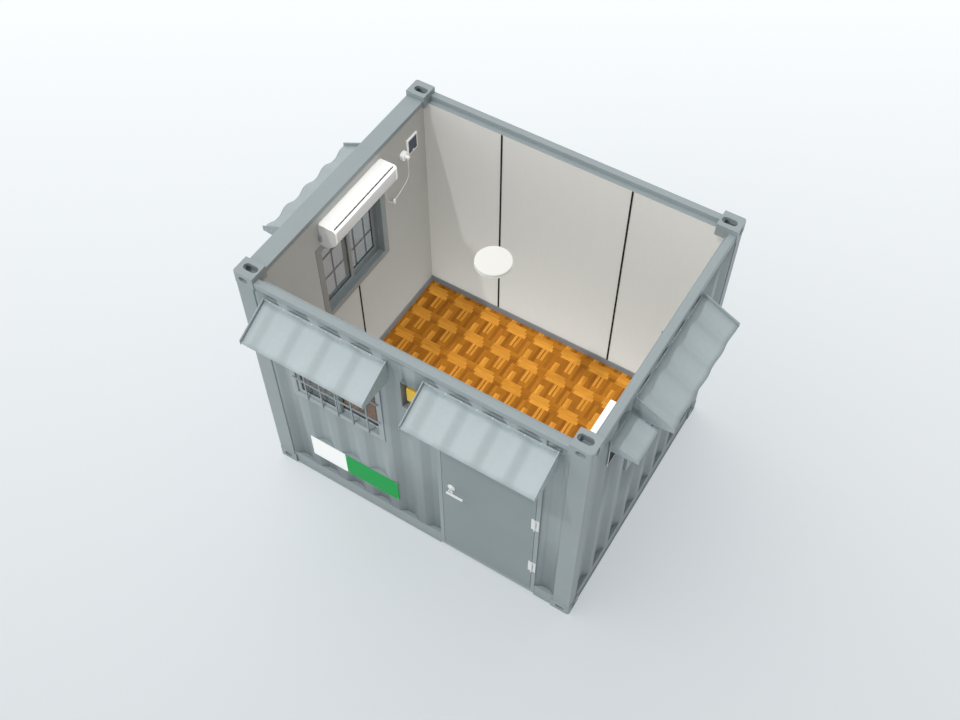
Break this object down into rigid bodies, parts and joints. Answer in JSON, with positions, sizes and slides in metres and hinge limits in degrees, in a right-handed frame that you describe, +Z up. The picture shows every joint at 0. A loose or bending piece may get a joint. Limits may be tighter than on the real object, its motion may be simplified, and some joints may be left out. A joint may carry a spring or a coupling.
{
  "type": "container cabin",
  "caption": "Box-framed site cabin clad in trapezoid steel sheet, lined and floored, with a hinged door, barred windows under awnings, and an open top.",
  "frame": {"origin": "middle of the four base twistlock apertures, at the level that the base castings stand on", "axes": "+X along the door wall towards the door's hinges, -Y out of the door wall, +Z up"},
  "size_m": [3.611, 2.748, 2.591],
  "materials": {
    "frame_paint": "semi-gloss grey paint",
    "top_paint": "semi-gloss grey paint, the lighter top faces",
    "awning_paint": "semi-gloss pale grey paint",
    "floor_board": "plywood",
    "parquet": "basket-weave strip flooring, satin",
    "lining": "matte pale grey coated board",
    "black_trim": "matte black strip",
    "grey_trim": "matte grey skirting",
    "glass": "clear with a grey tint",
    "zinc": "bright zinc",
    "handle_metal": "satin",
    "white_plastic": "satin white",
    "white_cable": "matte white sheath",
    "board_plastic": "smoked cover",
    "yellow_plastic": "satin yellow",
    "sign_face": "white and green enamel, bare of lettering"
  },
  "bodies": {
    "cabin": {"base_castings": "frame_paint", "top_castings": "top_paint", "corner_posts": "frame_paint", "base_rails": "frame_paint", "floor_joists": "frame_paint", "floor_board": "floor_board", "parquet_floor": "parquet", "top_rails": "top_paint", "end_rails": "top_paint", "wall_caps": "frame_paint", "lining_front_left": "lining", "lining_front_head": "lining", "lining_front_right": "lining", "lining_rear": "lining", "lining_left": "lining", "lining_right": "lining", "cladding_front": "frame_paint", "cladding_rear": "frame_paint", "cladding_left": "frame_paint", "cladding_right": "frame_paint", "joint_strips": "black_trim", "skirting": "grey_trim", "window_front_frame": "frame_paint", "window_left_frame": "frame_paint", "window_right_frame": "frame_paint", "window_glass": "glass", "grille_front": "frame_paint", "grille_left": "frame_paint", "grille_right": "frame_paint", "awning_front": "awning_paint", "awning_door": "awning_paint", "awning_left": "awning_paint", "awning_right": "awning_paint", "fan_hood": "awning_paint", "wall_fan": "white_plastic", "door_frame": "frame_paint", "hinge_frame_sides": "zinc", "air_conditioner": "white_plastic", "ac_lead": "white_cable", "lead_junction": "white_plastic", "ac_plug": "white_plastic", "socket": "white_plastic", "distribution_board": "board_plastic", "inlet_box": "frame_paint", "power_inlet": "yellow_plastic", "sign_board": "sign_face", "ceiling_light": "white_plastic"},
    "door": {"door_leaf": "frame_paint", "hinge_door_sides": "zinc", "handle_plates": "handle_metal"},
    "handle": {"door_handle": "handle_metal"}
  },
  "joints": [
    {"name": "door_hinge", "type": "hinge", "parent": "cabin", "child": "door", "pos_m": [1.1155, -1.215, 1.1], "axis": [0, 0, 1], "range_deg": [0, 105]},
    {"name": "handle_turn", "type": "hinge", "parent": "door", "child": "handle", "pos_m": [0.3595, -1.187, 1.09], "axis": [0, 1, 0], "range_deg": [0, 45], "stiffness_Nm_per_rad": 2, "springref_deg": -20.05}
  ]
}
